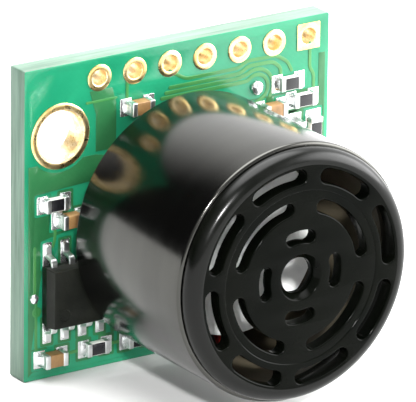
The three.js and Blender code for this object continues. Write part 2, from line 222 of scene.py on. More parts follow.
def slab(loops, low, high, bevel=0.0, steps=2):
    """A plate between two heights, cut to its first loop less the others, with rounded rims."""
    curve = bpy.data.curves.new("outline", "CURVE")
    curve.dimensions = "2D"
    curve.fill_mode = "BOTH"
    curve.extrude = (high - low) / 2 - bevel
    curve.bevel_depth = bevel
    curve.bevel_resolution = steps
    curve.offset = -bevel
    for loop in loops:
        spline = curve.splines.new("POLY")
        spline.points.add(len(loop) - 1)
        for point, (x, y) in zip(spline.points, loop):
            point.co = (x, y, 0, 1)
        spline.use_cyclic_u = True
    obj = bpy.data.objects.new("outline", curve)
    bpy.context.scene.collection.objects.link(obj)
    graph = bpy.context.evaluated_depsgraph_get()
    mesh = bpy.data.meshes.new_from_object(obj.evaluated_get(graph))
    work = bmesh.new()
    work.from_mesh(mesh)
    bmesh.ops.remove_doubles(work, verts=work.verts, dist=1e-4)
    bmesh.ops.recalc_face_normals(work, faces=work.faces)
    lift = (high + low) / 2
    verts = [(v.co.x, v.co.y, v.co.z + lift) for v in work.verts]
    faces = [[v.index for v in f.verts] for f in work.faces]
    work.free()
    bpy.data.objects.remove(obj)
    bpy.data.curves.remove(curve)
    bpy.data.meshes.remove(mesh)
    return verts, faces


def rounded_block(w, h, low, high, radius=0.06, steps=3):
    """A block with rounded edges: width and height across the board, low to high out of it."""
    work = bmesh.new()
    bmesh.ops.create_cube(work, size=1.0)
    for v in work.verts:
        v.co.x = math.copysign(w / 2, v.co.x)
        v.co.y = math.copysign(h / 2, v.co.y)
        v.co.z = high if v.co.z > 0 else low
    bmesh.ops.bevel(
        work, geom=list(work.edges), offset=radius, segments=steps, profile=0.5, affect="EDGES"
    )
    bmesh.ops.recalc_face_normals(work, faces=work.faces)
    work.verts.index_update()
    verts = [tuple(v.co) for v in work.verts]
    faces = [[v.index for v in f.verts] for f in work.faces]
    work.free()
    return verts, faces


def loft(rings):
    """Skins a stack of point loops with equal numbers of points, and closes both ends."""
    verts, faces = [], []
    count = len(rings[0])
    for loop in rings:
        verts += [tuple(p) for p in loop]
    for j in range(len(rings) - 1):
        for k in range(count):
            n = (k + 1) % count
            a, b = j * count, (j + 1) * count
            faces.append([a + k, a + n, b + n, b + k])
    faces.append(list(range(count))[::-1])
    faces.append([len(verts) - count + k for k in range(count)])
    return verts, faces


def tube(points, radius, sides=12):
    """A round wire through the given points."""
    line = [Vector(p) for p in points]
    rings = []
    side = None
    for i, p in enumerate(line):
        ahead = line[min(i + 1, len(line) - 1)] - line[max(i - 1, 0)]
        ahead.normalize()
        if side is None:
            side = ahead.orthogonal()
        side = (side - ahead * side.dot(ahead)).normalized()
        other = ahead.cross(side)
        angles = [2 * math.pi * k / sides for k in range(sides)]
        rings.append([p + (side * math.cos(a) + other * math.sin(a)) * radius for a in angles])
    return loft(rings)


def smooth_line(points, steps=6):
    """A Catmull-Rom line through given points."""
    line = [Vector(p) for p in points]
    line = [line[0] * 2 - line[1]] + line + [line[-1] * 2 - line[-2]]
    out = []
    for i in range(1, len(line) - 2):
        a, b, c, d = line[i - 1:i + 3]
        for k in range(steps):
            t = k / steps
            out.append(0.5 * (2 * b + (c - a) * t + (2 * a - 5 * b + 4 * c - d) * t * t
                              + (3 * b - a - 3 * c + d) * t ** 3))
    out.append(line[-2])
    return out


def bent(points, radius, steps=5):
    """A line of flat points with its corners rounded off."""
    line = [Vector(p).to_2d() for p in points]
    out = [line[0]]
    for a, p, b in zip(line, line[1:], line[2:]):
        back = min(radius, (a - p).length * 0.45)
        ahead = min(radius, (b - p).length * 0.45)
        start = p + (a - p).normalized() * back
        end = p + (b - p).normalized() * ahead
        for k in range(steps + 1):
            t = k / steps
            out.append(start * (1 - t) ** 2 + p * 2 * t * (1 - t) + end * t * t)
    return out + [line[-1]]


def bar(points, width, thickness, chamfer=0.03):
    """A flat bar bent along (along, out) points, its width across them, with chamfered edges."""
    line = [Vector(p).to_2d() for p in points]
    half, thin = width / 2, thickness / 2
    section = [(half - chamfer, thin), (half, thin - chamfer)]
    section += [(half, chamfer - thin), (half - chamfer, -thin)]
    section += [(-a, -b) for a, b in section]
    rings = []
    for i, p in enumerate(line):
        d = (line[min(i + 1, len(line) - 1)] - line[max(i - 1, 0)]).normalized()
        rings.append([(p.x - d.y * up, across, p.y + d.x * up) for across, up in section])
    return loft(rings)


# ---- materials ----

def new_material(name):
    mat = bpy.data.materials.new(name)
    mat.use_nodes = True
    return mat, mat.node_tree, mat.node_tree.nodes["Principled BSDF"]


def node(tree, kind, **inputs):
    made = tree.nodes.new(kind)
    for key, value in inputs.items():
        made.inputs[key.replace("_", " ")].default_value = value
    return made


def coords(tree, scale=(1, 1, 1)):
    place = tree.nodes.new("ShaderNodeTexCoord")
    mapping = tree.nodes.new("ShaderNodeMapping")
    mapping.inputs["Scale"].default_value = scale
    tree.links.new(place.outputs["Object"], mapping.inputs["Vector"])
    return mapping.outputs["Vector"]


def noise(tree, vector, scale, detail=4.0):
    made = node(tree, "ShaderNodeTexNoise", Scale=scale, Detail=detail, Roughness=0.55)
    tree.links.new(vector, made.inputs["Vector"])
    return made.outputs["Fac"]


def ramp(tree, factor, stops):
    """Colours along a factor, from (place, colour) stops."""
    made = tree.nodes.new("ShaderNodeValToRGB")
    elements = made.color_ramp.elements
    while len(elements) < len(stops):
        elements.new(0.5)
    for element, (place, colour) in zip(elements, stops):
        element.position = place
        element.color = (*colour, 1)
    tree.links.new(factor, made.inputs["Fac"])
    return made.outputs["Color"]


def spread(tree, factor, low, high, start=0.3, end=0.7):
    """Stretches the part of a factor from start to end over low to high."""
    made = node(tree, "ShaderNodeMapRange")
    made.inputs["From Min"].default_value = start
    made.inputs["From Max"].default_value = end
    made.inputs["To Min"].default_value = low
    made.inputs["To Max"].default_value = high
    tree.links.new(factor, made.inputs["Value"])
    return made.outputs["Result"]


def math_node(tree, operation, first, second):
    """One sum, of sockets or plain numbers."""
    made = tree.nodes.new("ShaderNodeMath")
    made.operation = operation
    for socket, value in zip(made.inputs, (first, second)):
        if isinstance(value, (int, float)):
            socket.default_value = value
        else:
            tree.links.new(value, socket)
    return made.outputs["Value"]


def weave(tree, vector, pitch):
    """Crossed glass yarns: two waves at right angles in the plane of the board."""
    split = tree.nodes.new("ShaderNodeSeparateXYZ")
    tree.links.new(vector, split.inputs["Vector"])
    waves = []
    for axis in ("X", "Z"):
        turned = math_node(tree, "MULTIPLY", split.outputs[axis], 2 * math.pi / (pitch * MM))
        waves.append(math_node(tree, "SINE", turned, 0.0))
    return math_node(tree, "MULTIPLY", waves[0], waves[1])


def bump(tree, bsdf, height, strength, distance):
    made = tree.nodes.new("ShaderNodeBump")
    made.inputs["Strength"].default_value = strength
    made.inputs["Distance"].default_value = distance
    tree.links.new(height, made.inputs["Height"])
    tree.links.new(made.outputs["Normal"], bsdf.inputs["Normal"])


def surface(name, dark, light, rough, scale, metal=0.0, ior=1.5, grain=0.15, grain_scale=9000.0,
            stretch=(1, 1, 1), rough_spread=0.06, depth=0.00002, gloss=0.5, yarn=0.0, reflection_specks=None):
    """Two close colours mixed by noise, with uneven gloss and a fine grain.

    Scales are cycles a metre, depth is in metres, and yarn is the pitch of a weave in millimetres.
    """
    mat, tree, bsdf = new_material(name)
    vector = coords(tree, stretch)
    cloud = noise(tree, vector, scale)
    colour = ramp(tree, cloud, [(0.3, dark), (0.7, light)])
    # Specks of a third colour where given: only the plated bore uses them, as painted reflections.
    if reflection_specks is not None:
        reflection_spots = noise(tree, vector, scale * 9, 2.0)
        made = tree.nodes.new("ShaderNodeMix")
        made.data_type = "RGBA"
        tree.links.new(spread(tree, reflection_spots, 0.0, 1.0, 0.6, 0.68), made.inputs["Factor"])
        tree.links.new(colour, made.inputs["A"])
        made.inputs["B"].default_value = (*reflection_specks, 1)
        colour = made.outputs["Result"]
    tree.links.new(colour, bsdf.inputs["Base Color"])
    patches = noise(tree, vector, scale * 2.3, 3.0)
    low, high = max(0.02, rough - rough_spread), rough + rough_spread
    tree.links.new(spread(tree, patches, low, high), bsdf.inputs["Roughness"])
    bsdf.inputs["Metallic"].default_value = metal
    bsdf.inputs["IOR"].default_value = ior
    bsdf.inputs["Specular IOR Level"].default_value = gloss
    height = noise(tree, vector, grain_scale, 3.0)
    if yarn:
        threads = math_node(tree, "MULTIPLY", weave(tree, vector, yarn), 0.8)
        height = math_node(tree, "ADD", height, threads)
    bump(tree, bsdf, height, grain, depth)
    return mat


def srgb(text):
    """A linear colour from its six hex digits."""
    values = [int(text[i:i + 2], 16) / 255 for i in (0, 2, 4)]
    return tuple(v / 12.92 if v <= 0.04045 else ((v + 0.055) / 1.055) ** 2.4 for v in values)


YARN = 0.42
MASK_BARE = surface("solder_mask_bare", srgb("177a57"), srgb("228761"), 0.16, 300, grain=0.12,
                    grain_scale=2500, depth=0.00001, yarn=YARN)
MASK_COPPER = surface("solder_mask_over_copper", srgb("246139"), srgb("306b41"), 0.18, 400, grain=0.15,
                      grain_scale=3000, depth=0.00001, yarn=YARN)
TRACE = surface("solder_mask_over_trace", srgb("33743f"), srgb("437f44"), 0.2, 500, grain=0.1,
                grain_scale=3000, depth=0.00001)
LAMINATE = surface("laminate_edge", srgb("466050"), srgb("667f70"), 0.6, 700, grain=0.6,
                   grain_scale=1500, stretch=(0.25, 3, 0.25), depth=0.00006)
GOLD = surface("gold_plating", srgb("e6bf72"), srgb("f8e3ae"), 0.3, 900, metal=1.0, grain=0.35,
               grain_scale=1600, depth=0.00004)
# The bore's gold: a paler copy of the pads' gold as a painted highlight, with darker specks as painted
# reflections.
GOLD_WALL_PAINTED_GLINTS = surface("gold_barrel_painted_glints", srgb("eccb86"), srgb("fff0cf"), 0.42, 1500, metal=0.85, grain=0.8,
                    grain_scale=2600, depth=0.00008, reflection_specks=srgb("b9853a"))
TIN = surface("tinned_metal", srgb("c4c7c6"), srgb("f0f2f1"), 0.34, 900, metal=1.0, grain=0.3,
              grain_scale=2200, depth=0.00003)
SOLDER = surface("solder", srgb("c6caca"), srgb("f6f8f8"), 0.24, 700, metal=0.9, grain=0.35,
                 grain_scale=1200, depth=0.00005)
CAN = surface("blackened_can", (0.041, 0.041, 0.038), (0.052, 0.052, 0.048), 0.16, 200, metal=1.0,
              grain=0.1, grain_scale=1800, stretch=(0.35, 2.2, 0.35), rough_spread=0.02, depth=0.00001)
CAN_INSIDE = surface("can_inside", srgb("4b463a"), srgb("5f5848"), 0.4, 300, metal=0.1, grain=0.3)
CAP = surface("cap_plastic", srgb("020302"), srgb("050604"), 0.13, 250, ior=1.14, gloss=0.3, grain=0.14,
              grain_scale=1500, depth=0.00002)
CAP_SHOULDER = surface("cap_shoulder", srgb("020302"), srgb("050604"), 0.2, 250, ior=1.3, gloss=0.34,
                       grain=0.14, grain_scale=1500, depth=0.00002)
SPUN = surface("spun_aluminium", srgb("d8d9d7"), srgb("f0f1ee"), 0.55, 900, metal=0.15, grain=0.4,
               grain_scale=2500, depth=0.00004)
BRASS = surface("brass_plate", srgb("9c7f3c"), srgb("c2a35c"), 0.35, 500, metal=1.0)
CERAMIC = surface("piezo_ceramic", srgb("cfc8b4"), srgb("e2dccb"), 0.6, 700)
PHENOLIC = surface("phenolic_base", srgb("2a2720"), srgb("3a352b"), 0.65, 700, grain=0.4)
SILICONE = surface("silicone", srgb("dedad0"), srgb("f2efe7"), 0.55, 600)
EPOXY = surface("moulded_epoxy", srgb("0b0d0a"), srgb("161812"), 0.45, 800, ior=1.3, gloss=0.35, grain=0.5,
                grain_scale=4500, depth=0.00004)
CAPACITOR = surface("capacitor_ceramic", srgb("7a5a36"), srgb("9c7a4c"), 0.45, 1200, grain=0.4)
RESISTOR = surface("resistor_glaze", srgb("121215"), srgb("1e1e22"), 0.22, 900)
ALUMINA = surface("resistor_ceramic", srgb("d9d9d2"), srgb("efeee8"), 0.5, 900)
RED = surface("red_insulation", srgb("9a1712"), srgb("c22c22"), 0.4, 600)


# ---- board: slab with its holes, copper under the mask, pads ----

PADS = [f"header_hole_plating_{i}" for i in range(1, 8)]
MOUNTS = ["mounting_hole_plating_upper_left", "mounting_hole_plating_lower_right"]
PINS = ["terminal_pin_upper", "terminal_pin_lower"]
# radii of the bores, of the pads round them and of the bare rings round the mounting pads
HEADER_BORE = 0.5
HEADER_PAD = 0.84
MOUNT_BORE = 1.55
MOUNT_PAD = 2.08
MOUNT_CLEAR = MOUNT_PAD + 0.22
PIN_HOLE = 0.5
BARREL = 0.08
PLATE_GAP = 0.02
# heights above the board's face
POUR_HIGH = 0.026
TRACE_HIGH = 0.034
PAD_HIGH = 0.05
SUNK = -0.01


def flat(point):
    """Where a point lies on the board's front, from its middle."""
    return point.x - BOARD_MID.x, point.z - BOARD_MID.z


def board_holes():
    loops = [ring(*flat(middle(n)), HEADER_BORE + BARREL + PLATE_GAP, 40) for n in PADS]
    loops += [ring(*flat(middle(n)), MOUNT_BORE + BARREL + PLATE_GAP, 72) for n in MOUNTS]
    loops += [ring(*flat(middle(n)), PIN_HOLE, 32) for n in PINS]
    return loops


def build_board():
    outline = round_rect(HALF_W * 2, HALF_H * 2, 0.12, 3)
    core = slab([outline] + board_holes(), FRONT - BACK, 0.0, 0.03, 2)
    shape = Shape().add(on_board(core))
    # the cut edge shows the bare laminate
    for i, face in enumerate(core[1]):
        points = [Vector(core[0][k]) for k in face]
        normal = (points[1] - points[0]).cross(points[2] - points[0])
        if normal.length > 0 and abs(normal.normalized().z) < 0.3:
            shape.marks[i] = 1
    make("board_slab", shape, [MASK_BARE, LAMINATE], ["circuit_board"])


RIM_PER_BORE = 0.17
HOLE_PAD_HIGH = 0.06


def plated_hole(node_name, bore, pad, square, segments):
    """A barrel with rolled rims and a pad on both faces, in one skin, and a square pad where asked."""
    thick = BACK - FRONT
    rise, rim = HOLE_PAD_HIGH, bore * RIM_PER_BORE
    top = [(pad, 0.0), (pad, rise - 0.02), (pad - 0.03, rise), (bore + rim, rise)]
    top += arc((bore + rim, rise - rim), rim, 90, 180, 7)[1:]
    low = [(r, -thick - h) for r, h in reversed(top)]
    part = lathe(top + low + [(bore + BARREL, -thick), (bore + BARREL, 0.0)], segments, closed=True)
    place = flat(middle(node_name))
    shape = Shape().add(on_board(part, right=place[0], up=place[1]))
    # Faces inside the bore take the paler gold with its painted highlight and painted reflections.
    for i, face in enumerate(part[1]):
        if all(math.hypot(part[0][k][0], part[0][k][1]) < bore + rim * 0.85 for k in face):
            shape.marks[i] = 1
    if square:
        for side in ("front", "back"):
            hole = ring(0, 0, bore + rim * 1.5, segments)
            plate = slab([round_rect(pad * 2, pad * 2, 0.05), hole], 0.0, rise - 0.004, 0.015)
            sign = 1 if side == "front" else -1
            shape.add(on_board(plate, side, place[0] * sign, place[1]))
    make(node_name + "_detail", shape, [GOLD, GOLD_WALL_PAINTED_GLINTS], [node_name])


def build_holes():
    for number, name in enumerate(PADS):
        plated_hole(name, HEADER_BORE, HEADER_PAD, number == 0, 48)
    for name in MOUNTS:
        plated_hole(name, MOUNT_BORE, MOUNT_PAD, False, 96)


# ---- chips: where each sits, its pads, its body and its solder ----

def seat(node_name):
    """Side, centre, long-axis turn and size of a chip, from its own box in the frame."""
    low, high = box_mm(node_name)
    side = "front" if (low.y + high.y) / 2 < FRONT else "back"
    sign = 1 if side == "front" else -1
    size = high - low
    right, up = flat((low + high) / 2)
    upright = size.z > size.x
    length, width = (size.z, size.x) if upright else (size.x, size.z)
    top = FRONT - low.y if side == "front" else high.y - BACK
    turn = math.pi / 2 if upright else 0.0
    return side, right * sign, up, turn, length, width, top


CHIPS = [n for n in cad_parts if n.startswith(("capacitor", "resistor"))]
PAD_LONG = 0.8
PAD_OUT = 0.42
PAD_MARGIN = 0.26
LEAD_PAD = (0.62, 1.6)
LEAD_PAD_PAST_TOE = 0.2
PAD_RECTS = {"front": [], "back": []}


def add_pad(side, right, up, w, h):
    PAD_RECTS[side].append((right, up, w, h))


def place_chip_pads():
    for name in CHIPS:
        side, right, up, turn, length, width, _ = seat(name)
        along = length / 2 + PAD_OUT - PAD_LONG / 2
        for sign in (-1, 1):
            if turn == 0.0:
                add_pad(side, right + along * sign, up, PAD_LONG, width + PAD_MARGIN)
            else:
                add_pad(side, right, up + along * sign, width + PAD_MARGIN, PAD_LONG)


def fillet(width, height, reach, steps=7, slices=9):
    """Solder that climbs a wall at along = 0 and runs out to a thin edge."""
    rings = []
    for i in range(slices):
        t = 2 * i / (slices - 1) - 1
        swell = math.sqrt(1 - 0.8 * abs(t) ** 3)
        points = [(-0.04, 0.0), (-0.04, height * swell)]
        points += [(reach * swell * k / steps, height * swell * (1 - k / steps) ** 2.2 + 0.012)
                   for k in range(steps + 1)]
        points.append((reach * swell, 0.0))
        rings.append([(along, t * width / 2, out) for along, out in points])
    return loft(rings)


# length of a tinned end, gap under the chip and rounding of its ends
CHIP_END = 0.34
CHIP_LOW = 0.03
CHIP_RIM = 0.05


def build_chip(name):
    """A capacitor or resistor: its body, its two tinned ends and the solder round them."""
    side, right, up, turn, length, width, top = seat(name)
    ceramic = name.startswith("capacitor")
    shape = Shape()

    def put(part, mark, flip=False, shift=0.0):
        local = shifted(part, shift, 0)
        if flip:
            local = moved(local, Matrix.Rotation(math.pi, 4, "Z"))
        shape.add(on_board(local, side, right, up, 0.0, turn), mark)

    end, low, rim = CHIP_END, CHIP_LOW, CHIP_RIM
    if ceramic:
        put(rounded_block(length - 0.2, width - 0.05, low + 0.02, top - 0.03, 0.06, 3), 0)
    else:
        put(rounded_block(length - 0.2, width - 0.05, low + 0.02, top - 0.06, 0.03, 2), 2)
        put(rounded_block(length - 2 * end + 0.04, width - 0.13, top - 0.07, top - 0.025, 0.02, 2), 0)
    for flip in (False, True):
        put(rounded_block(end, width, low, top, rim, 4), 1, flip, length / 2 - end / 2)
        put(fillet(width - 0.02, (top - 0.05) * 0.72, PAD_OUT - 0.05), 3, flip, length / 2)
        for across in (-1, 1):
            bead = fillet(end, top * 0.4, 0.09, 4, 5)
            bead = moved(bead, Matrix.Rotation(across * math.pi / 2, 4, "Z"))
            put(shifted(bead, 0, across * width / 2), 3, flip, length / 2 - end / 2)
    body = CAPACITOR if ceramic else RESISTOR
    make(name + "_detail", shape, [body, TIN, ALUMINA, SOLDER], [name], sharp=40)


LEAD_WIDE = 0.42
LEAD_THICK = 0.2
# how far a lead's knee, heel and toe lie from the package's side
LEAD_KNEE = 0.34
LEAD_HEEL = 0.52
LEAD_REACH = 1.1
FOOT_OUT = 0.12
LEAD_PITCH = 1.27
SOIC_PLACES = [(i - 3) * LEAD_PITCH for i in range(7)]
PIN_ONE_INSET = 0.9
PIN_ONE_RADIUS = 0.36
# stem, shoulder height, lead places on one long side and on the other
PACKAGES = [
    ("microcontroller", 0.81, SOIC_PLACES, SOIC_PLACES),
    ("amplifier", 0.81, SOIC_PLACES, SOIC_PLACES),
    ("diode_pair", 0.58, [0.0], [-0.95, 0.95]),
]


def place_lead_pads():
    for stem, _, plus, minus in PACKAGES:
        side, right, up, turn, length, width, _ = seat(stem + "_package")
        out = width / 2 + LEAD_REACH - LEAD_PAD[1] / 2 + LEAD_PAD_PAST_TOE
        for places, sign in ((plus, 1), (minus, -1)):
            for along in places:
                if turn == 0.0:
                    add_pad(side, right + along, up + out * sign, *LEAD_PAD)
                else:
                    add_pad(side, right + out * sign, up + along, LEAD_PAD[1], LEAD_PAD[0])


def build_package(stem, shoulder, plus, minus):
    """A moulded package with drafted sides and a pin-one dimple, and its gull-wing leads."""
    side, right, up, turn, length, width, top = seat(stem + "_package")
    base = 0.1
    draft_low, draft_high, dip, corner = 0.1, 0.12, 0.06, 0.06
    body = Shape()

    def put(shape, part, mark=0):
        shape.add(on_board(part, side, right, up, 0.0, turn), mark)

    stations = [(draft_low + 0.05, base), (draft_low, base + 0.05), (0.02, shoulder - 0.02)]
    stations += [(0.0, shoulder), (0.02, shoulder + 0.02), (draft_high, top - dip)]
    rings = []
    for inset, out in stations:
        outline = round_rect(length - inset * 2, width - inset * 2, corner, 3)
        rings.append([(x, y, out) for x, y in outline])
    put(body, loft(rings))
    lid = round_rect(length - draft_high * 2 + 0.01, width - draft_high * 2 + 0.01, corner, 3)
    loops = [lid]
    if stem != "diode_pair":
        loops.append(ring(PIN_ONE_INSET - length / 2, PIN_ONE_INSET - width / 2, PIN_ONE_RADIUS, 32))
    put(body, slab(loops, top - dip * 2, top, dip * 0.75, 3))
    make(stem + "_package_detail", body, [EPOXY], [stem + "_package"], sharp=40)

    leads = Shape()
    half = width / 2
    path = bent([(half - 0.25, shoulder), (half + LEAD_KNEE, shoulder), (half + LEAD_HEEL, FOOT_OUT),
                 (half + LEAD_REACH, FOOT_OUT)], 0.16)
    lead = bar(path, LEAD_WIDE, LEAD_THICK)
    toe = shifted(fillet(LEAD_WIDE, 0.17, 0.22, 5, 7), half + LEAD_REACH, 0)
    heel = moved(fillet(LEAD_WIDE, 0.3, 0.16, 5, 7), Matrix.Rotation(math.pi, 4, "Z"))
    heel = shifted(heel, half + LEAD_HEEL, 0)
    for places, quarter in ((plus, math.pi / 2), (minus, -math.pi / 2)):
        for along in places:
            spin = Matrix.Translation((along, 0, 0)) @ Matrix.Rotation(quarter, 4, "Z")
            put(leads, moved(lead, spin), 0)
            put(leads, moved(toe, spin), 1)
            put(leads, moved(heel, spin), 1)
    replaced = [stem + "_lead_frame"]
    make(stem + "_leads_detail", leads, [TIN, SOLDER], replaced, sharp=40)


# ---- copper under the mask ----

BUMP_AT = flat(middle("solder_bump_upper_right"))
FRONT_MOUNT = flat(middle(MOUNTS[0]))
BACK_MOUNT = (-flat(middle(MOUNTS[1]))[0], flat(middle(MOUNTS[1]))[1])
# each trace is its width and its line, from the board's middle, as seen from its own side
FRONT_TRACES = [
    (0.22, [(-0.64, 8.2), (0.1, 7.75), (0.6, 7.5), (4.4, 7.5), (5.0, 7.85), (7.2, 7.82), (8.0, 7.3),
            (8.3, 6.7)]),
    (0.24, [(-0.6, 7.13), (4.5, 7.13), (5.1, 7.5), (6.9, 7.48), (7.5, 7.0), (7.5, 6.4)]),
    (0.24, [(-0.9, 6.82), (4.3, 6.82)] + arc(BUMP_AT, 1.2, 125, -20, 10) + [(6.7, 5.3)]),
    (0.24, [(-1.2, 6.52), (4.1, 6.52)] + arc(BUMP_AT, 0.85, 140, -50, 10) + [(5.6, 5.0)]),
    (0.22, [(9.65, 8.2), (9.65, 6.6), (9.95, 6.2), (9.95, 5.0)]),
    (0.2, [(-3.72, 8.2), (-3.72, 6.7)]),
    (0.16, [(-6.6, 7.2), (-4.5, 7.2)]),
    (0.2, [(-8.85, 0.4), (-8.85, -1.0), (-9.0, -1.5)]),
    (0.2, [(-10.3, -1.4), (-10.3, -4.4)]),
    (0.2, [(-10.2, -5.0), (-10.2, -8.0), (-9.9, -8.4)]),
    (0.2, [(-7.9, -8.65), (-7.1, -8.62)]),
    (0.2, [(-4.7, -8.6), (-4.1, -8.62)]),
    (0.2, [(-1.7, -8.65), (1.5, -8.65), (2.4, -7.8), (5.4, -7.8)]),
]
FRONT_POURS = [
    [(-6.4, 7.9), (-4.8, 7.9), (-4.5, 6.9), (-4.5, 4.0), (-5.95, 4.0), (-5.95, 6.4)],
    [(-10.76, 3.82)] + arc(FRONT_MOUNT, MOUNT_CLEAR, 225, 315, 12)
    + [(-5.9, 3.82), (-4.0, 3.3), (5.0, 3.3), (5.3, 5.3), (10.32, 5.3), (10.32, 7.45), (10.78, 7.45),
       (10.78, -9.66), (-10.76, -9.66)],
]
BACK_TRACES = [
    (0.22, [(-9.52, 8.2), (-9.52, 5.5), (-8.5, 4.6), (-8.5, 3.8)]),
    (0.22, [(-6.98, 8.2), (-6.98, 5.8), (-5.9, 4.9), (-5.9, 4.2)]),
    (0.22, [(-4.44, 8.2), (-4.44, 6.6), (-2.0, 5.0), (-0.9, 4.4)]),
    (0.22, [(-1.9, 8.2), (-1.9, 6.7), (1.7, 6.2), (3.0, 6.2)]),
    (0.22, [(0.64, 8.2), (0.64, 7.2), (3.9, 7.2), (3.9, 6.4)]),
    (0.22, [(3.18, 8.2), (3.18, 7.6), (5.3, 7.6), (5.3, 3.2), (6.4, 2.4), (6.4, 0.6)]),
    (0.22, [(5.72, 8.2), (5.72, 3.0), (8.9, 2.6)]),
    (0.22, [(7.6, -0.4), (9.4, -0.4), (9.4, -6.9), (8.4, -7.9)]),
    (0.22, [(7.6, -2.2), (8.9, -2.2), (8.9, -3.6), (7.6, -4.0)]),
    (0.22, [(5.2, -2.2), (3.2, -2.2), (1.4, -1.2), (0.35, -1.2), (-1.6, -0.4)]),
    (0.22, [(5.2, -4.0), (2.4, -4.0), (0.35, -5.83)]),
    (0.22, [(2.5, -7.9), (0.2, -7.9), (-1.8, -5.2), (-1.8, -4.6)]),
    (0.22, [(4.8, -7.9), (5.6, -7.9)]),
]
BACK_POURS = [
    [(-10.76, 9.66), (-10.76, -5.11), (-8.9, -5.11)] + arc(BACK_MOUNT, MOUNT_CLEAR, 95, 5, 14)
    + [(-5.9, -9.66), (10.76, -9.66), (10.76, 3.0), (9.9, 3.0), (9.9, 0.4), (4.4, 0.4), (4.4, -6.6),
       (1.4, -6.6), (-0.9, -4.76), (-9.2, -4.76), (-9.2, 4.2), (-10.2, 5.4), (-10.2, 9.66)],
]
VIAS = {
    "front": [(-10.15, -5.55), (4.9, -9.2), (9.3, -3.6)],
    "back": [(-8.5, 3.8), (-5.9, 4.2), (3.0, 6.2), (8.9, 0.0), (7.6, -9.2), (0.4, -9.1), (9.9, -4.2),
             (-10.5, 2.0)],
}


def round_clear(side):
    """Rings of bare board round every hole that a pour surrounds."""
    sign = 1 if side == "front" else -1
    loops = []
    for names, radius in ((PADS, HEADER_PAD + 0.2), (MOUNTS, MOUNT_CLEAR), (PINS, 1.2)):
        for name in names:
            x, z = flat(middle(name))
            loops.append(((x * sign, z), radius))
    return loops


def inside(point, outline):
    """Whether a flat point lies within a closed outline."""
    hit = False
    for (x1, y1), (x2, y2) in zip(outline, outline[1:] + outline[:1]):
        if (y1 > point[1]) != (y2 > point[1]):
            if point[0] < x1 + (point[1] - y1) * (x2 - x1) / (y2 - y1):
                hit = not hit
    return hit


def wholly_inside(loop, outline):
    return all(inside(p, outline) for p in loop)


POUR_CLEAR = 0.16
TRACE_STEP = 0.0007


def build_copper(side, pours, traces):
    """Copper pours, traces and vias, with each trace a hair above the last so that none coincide."""
    shape = Shape()
    for outline in pours:
        loops = [outline]
        for centre, radius in round_clear(side):
            loop = ring(*centre, radius, 48)
            if wholly_inside(loop, outline):
                loops.append(loop)
        for right, up, w, h in PAD_RECTS[side]:
            loop = round_rect(w + POUR_CLEAR * 2, h + POUR_CLEAR * 2, 0.1, 2, right, up)
            if wholly_inside(loop, outline):
                loops.append(loop)
        shape.add(on_board(slab(loops, SUNK, POUR_HIGH, 0.01, 1), side), 0)
    for number, (width, points) in enumerate(traces):
        high = TRACE_HIGH + TRACE_STEP * number
        path = bent(points, 0.3, 4) if len(points) > 2 else points
        shape.add(on_board(slab([strip(path, width)], SUNK, high, 0.012, 2), side), 1)
    for right, up in VIAS[side]:
        dome = [(0.34, SUNK), (0.33, POUR_HIGH), (0.27, TRACE_HIGH + 0.012), (0.2, TRACE_HIGH + 0.01),
                (0.1, POUR_HIGH - 0.01), (0.0, POUR_HIGH - 0.016)]
        shape.add(on_board(lathe([(0.0, SUNK)] + dome, 32), side, right, up), 1)
    make(f"board_copper_{side}", shape, [MASK_COPPER, TRACE], sharp=50)


def build_pads(side):
    shape = Shape()
    for right, up, w, h in PAD_RECTS[side]:
        plate = slab([round_rect(w, h, 0.07, 3)], SUNK, PAD_HIGH, 0.022, 2)
        shape.add(on_board(plate, side, right, up))
    make(f"board_pads_{side}", shape, [SOLDER], sharp=50)


def build_bumps():
    """The two loose solder bumps, each a slightly uneven dome."""
    for name in ("solder_bump_upper_right", "solder_bump_left"):
        low, high = box_mm(name)
        radius = (high.x - low.x) / 2
        tall = high.y - low.y
        dome = [(0.0, 0.0), (radius, 0.0)]
        dome += [(radius * math.cos(math.radians(a)), tall * math.sin(math.radians(a)) ** 0.85)
                 for a in range(10, 91, 8)]
        dome[-1] = (0.0, tall)
        part = lathe(dome, 40)
        verts = [(x * (1 + 0.06 * math.sin(3 * math.atan2(y, x))), y * (1 + 0.06 * math.cos(2 * x)), z)
                 for x, y, z in part[0]]
        right, up = flat((low + high) / 2)
        spot = on_board((verts, part[1]), "front", right, up, FRONT - high.y)
        make(name + "_detail", Shape().add(spot), [SOLDER], [name], sharp=60)


# ---- transducer, along the can's own axis: heights grow out of the board's front face ----

def about_axis(part):
    return on_board(part, "front", AXIS.x - BOARD_MID.x, AXIS.z - BOARD_MID.z)


CAN_FRONT = FRONT - CAN_LOW.y
CAN_REAR = FRONT - CAN_HIGH.y
CAN_WALL = 0.4
CAN_BORE = CAN_R - CAN_WALL


def build_can():
    """A turned tube, black outside, bare inside, with softened ends."""
    profile = [(CAN_BORE, CAN_FRONT)] + arc((CAN_R - 0.2, CAN_FRONT - 0.2), 0.2, 90, 0, 5)
    profile += arc((CAN_R - 0.1, CAN_REAR + 0.1), 0.1, 0, -90, 4) + [(CAN_BORE, CAN_REAR)]
    part = lathe(profile, 192, closed=True)
    shape = Shape().add(about_axis(part))
    for i, face in enumerate(part[1]):
        if all(math.hypot(part[0][k][0], part[0][k][1]) < CAN_BORE + 0.01 for k in face):
            shape.marks[i] = 1
    looks = [CAN, CAN_INSIDE]
    make("transducer_can_detail", shape, looks, ["transducer_can"], sharp=40)


CAP_LOW, CAP_HIGH = box_mm("front_grille")
CAP_R = (CAP_HIGH.x - CAP_LOW.x) / 2
CAP_FRONT = FRONT - CAP_LOW.y
CAP_THICK = 1.0
CAP_ROUND = 0.85
SPIGOT_GAP = 0.06
SPIGOT_WALL = 0.43
SPIGOT_DEEP = 1.1
CENTRE_HOLE = 1.13
CENTRE_BEVEL = 1.42
STEP_R = 5.4
STEP_DOWN = 0.05
